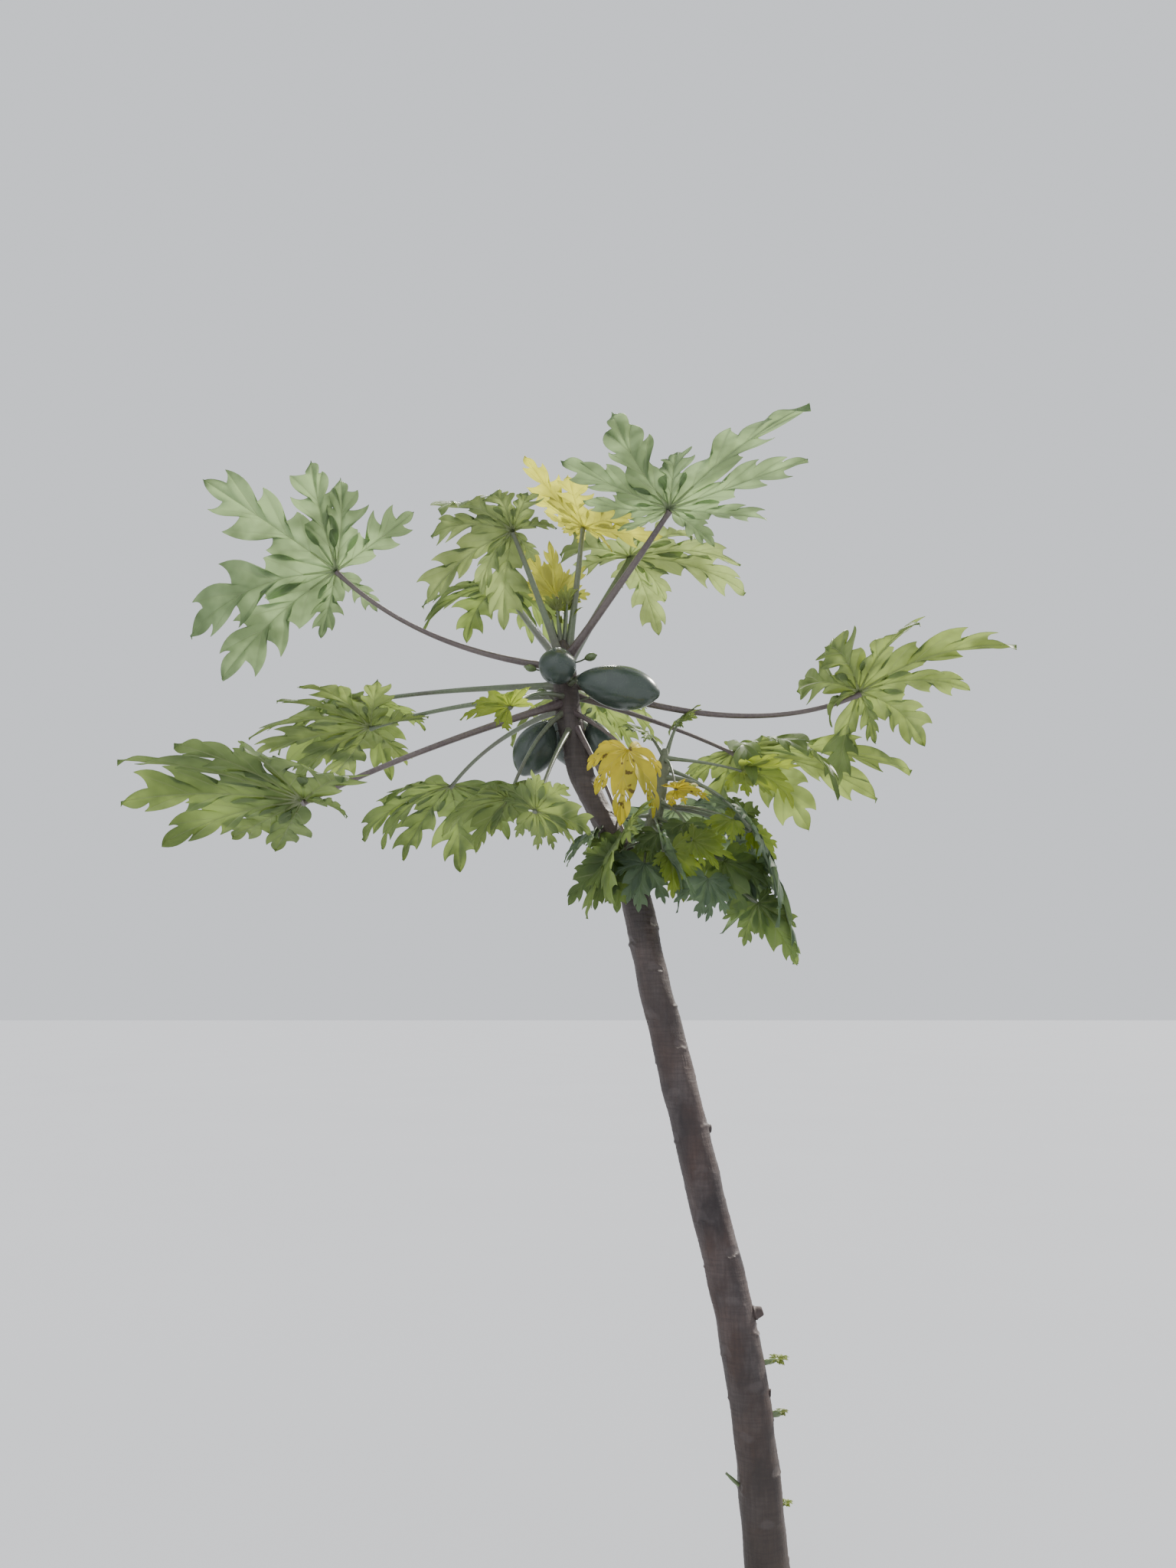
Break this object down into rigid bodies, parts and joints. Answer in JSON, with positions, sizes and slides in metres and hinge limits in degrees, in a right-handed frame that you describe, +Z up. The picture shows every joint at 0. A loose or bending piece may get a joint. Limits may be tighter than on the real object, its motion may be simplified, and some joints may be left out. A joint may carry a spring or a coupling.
{
  "type": "papaya tree",
  "caption": "Young fruiting papaya tree: a leaning trunk with a side shoot, a crown of large, deeply lobed leaves on long stalks, and green fruit under it.",
  "frame": {"origin": "middle of the flat cut under the trunk, at ground level", "axes": "+Z up; the trunk leans towards -X; -Y is the side from which the picture looks"},
  "size_m": [2.517, 1.9554, 3.2104],
  "materials": {
    "bark": "rough grey-brown bark with pale leaf scars",
    "shoot_bark": "young green-brown bark",
    "leaf_stalk": "satin, pale green",
    "leaf_green": "satin, light shining through",
    "leaf_young": "satin, pale yellow-green",
    "leaf_yellow": "satin, yellow with brown spots",
    "fruit_green": "smooth dark green skin, soft gloss"
  },
  "bodies": {
    "root": {"trunk": "bark", "side_shoot": "shoot_bark", "crown_stalk_01": "leaf_stalk", "crown_blade_01": "leaf_green", "crown_stalk_02": "leaf_stalk", "crown_blade_02": "leaf_green", "crown_stalk_03": "leaf_stalk", "crown_blade_03": "leaf_yellow", "crown_stalk_04": "leaf_stalk", "crown_blade_04": "leaf_yellow", "crown_stalk_05": "leaf_stalk", "crown_blade_05": "leaf_green", "crown_stalk_06": "leaf_stalk", "crown_blade_06": "leaf_green", "crown_stalk_07": "leaf_stalk", "crown_blade_07": "leaf_green", "crown_stalk_08": "leaf_stalk", "crown_blade_08": "leaf_green", "crown_stalk_09": "leaf_stalk", "crown_blade_09": "leaf_green", "crown_stalk_10": "leaf_stalk", "crown_blade_10": "leaf_green", "crown_stalk_11": "leaf_stalk", "crown_blade_11": "leaf_green", "crown_stalk_12": "leaf_stalk", "crown_blade_12": "leaf_green", "crown_stalk_13": "leaf_stalk", "crown_blade_13": "leaf_green", "crown_stalk_14": "leaf_stalk", "crown_blade_14": "leaf_yellow", "crown_stalk_15": "leaf_stalk", "crown_blade_15": "leaf_green", "crown_stalk_16": "leaf_stalk", "crown_blade_16": "leaf_green", "crown_stalk_17": "leaf_stalk", "crown_blade_17": "leaf_green", "crown_stalk_18": "leaf_stalk", "crown_blade_18": "leaf_green", "crown_stalk_19": "leaf_stalk", "crown_blade_19": "leaf_green", "crown_stalk_20": "leaf_stalk", "crown_blade_20": "leaf_green", "shoot_stalk_01": "leaf_stalk", "shoot_blade_01": "leaf_green", "shoot_stalk_02": "leaf_stalk", "shoot_blade_02": "leaf_yellow", "shoot_stalk_03": "leaf_stalk", "shoot_blade_03": "leaf_green", "shoot_stalk_04": "leaf_stalk", "shoot_blade_04": "leaf_green", "shoot_stalk_05": "leaf_stalk", "shoot_blade_05": "leaf_green", "shoot_stalk_06": "leaf_stalk", "shoot_blade_06": "leaf_green", "crown_heart": "leaf_young", "fruit_large": "fruit_green", "fruit_left": "fruit_green", "fruit_small": "fruit_green", "fruit_right": "fruit_green", "fruit_back": "fruit_green"}
  },
  "joints": []
}
